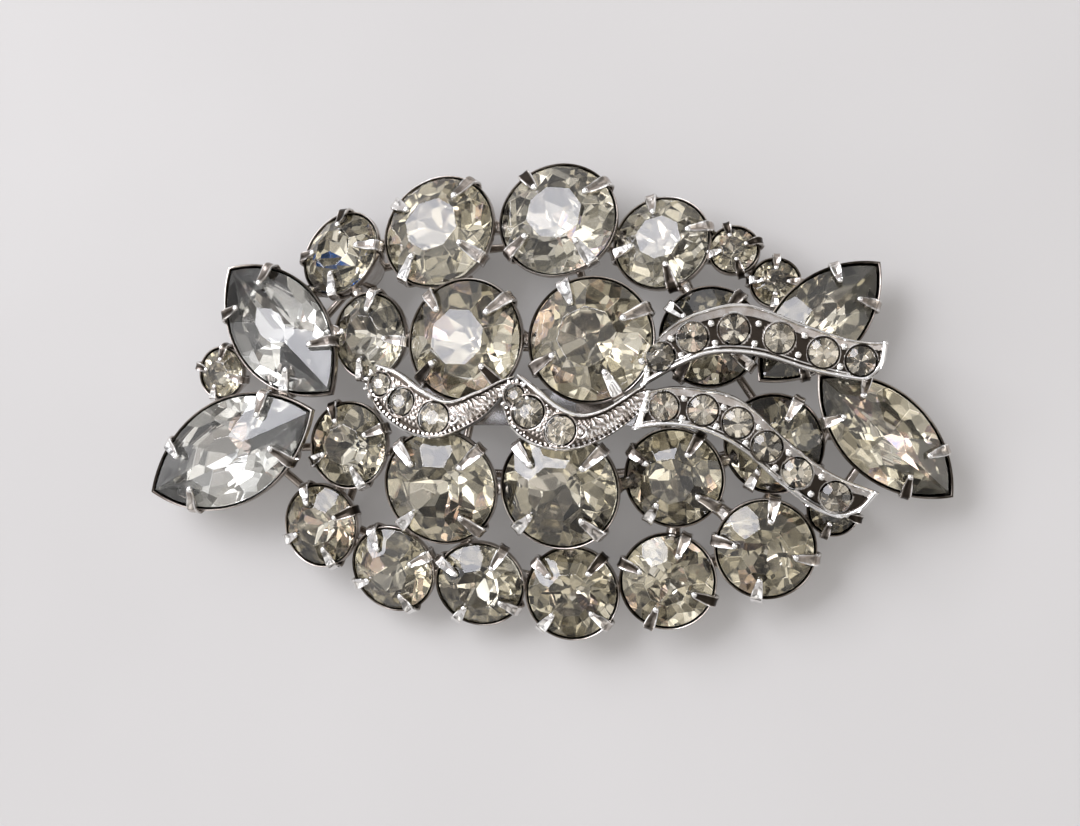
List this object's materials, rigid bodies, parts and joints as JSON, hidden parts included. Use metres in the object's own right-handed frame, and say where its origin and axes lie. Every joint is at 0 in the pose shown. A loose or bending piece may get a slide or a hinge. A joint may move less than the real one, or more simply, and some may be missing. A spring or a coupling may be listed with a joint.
{
  "type": "rhinestone brooch",
  "caption": "Domed oval cluster brooch of claw-set round and navette glass stones with two stone-set ribbons and a leaf scroll across it, and a plain pin on its back.",
  "frame": {"origin": "middle of the brooch's outline, on the surface it lies on with its face up", "axes": "+X along its length towards the ribbons' ends, +Y across its width, +Z out of its face"},
  "size_m": [0.0678, 0.039, 0.0112],
  "materials": {
    "rhodium": "bright plated, worn",
    "pin_metal": "bright plated",
    "champagne_stone": "faceted, foiled behind",
    "clear_stone": "faceted, silver foiled behind",
    "small_stone": "faceted, foiled behind"
  },
  "bodies": {
    "root": {"metalwork": "rhodium", "pin_back": "pin_metal", "upper_ribbon_stones": "small_stone", "lower_ribbon_stones": "small_stone", "scroll_stones": "small_stone", "top_stone_1": "champagne_stone", "top_stone_2": "champagne_stone", "top_stone_3": "champagne_stone", "top_stone_4": "champagne_stone", "top_stone_5": "champagne_stone", "top_stone_6": "champagne_stone", "upper_stone_1": "champagne_stone", "upper_stone_2": "champagne_stone", "upper_stone_3": "champagne_stone", "upper_stone_4": "champagne_stone", "lower_stone_1": "champagne_stone", "lower_stone_2": "champagne_stone", "lower_stone_3": "champagne_stone", "lower_stone_4": "champagne_stone", "lower_stone_5": "champagne_stone", "bottom_stone_1": "champagne_stone", "bottom_stone_2": "champagne_stone", "bottom_stone_3": "champagne_stone", "bottom_stone_4": "champagne_stone", "bottom_stone_5": "champagne_stone", "bottom_stone_6": "champagne_stone", "bottom_stone_7": "champagne_stone", "side_stone": "champagne_stone", "left_navette_upper": "clear_stone", "left_navette_lower": "clear_stone", "right_navette_upper": "champagne_stone", "right_navette_lower": "champagne_stone"}
  },
  "joints": []
}
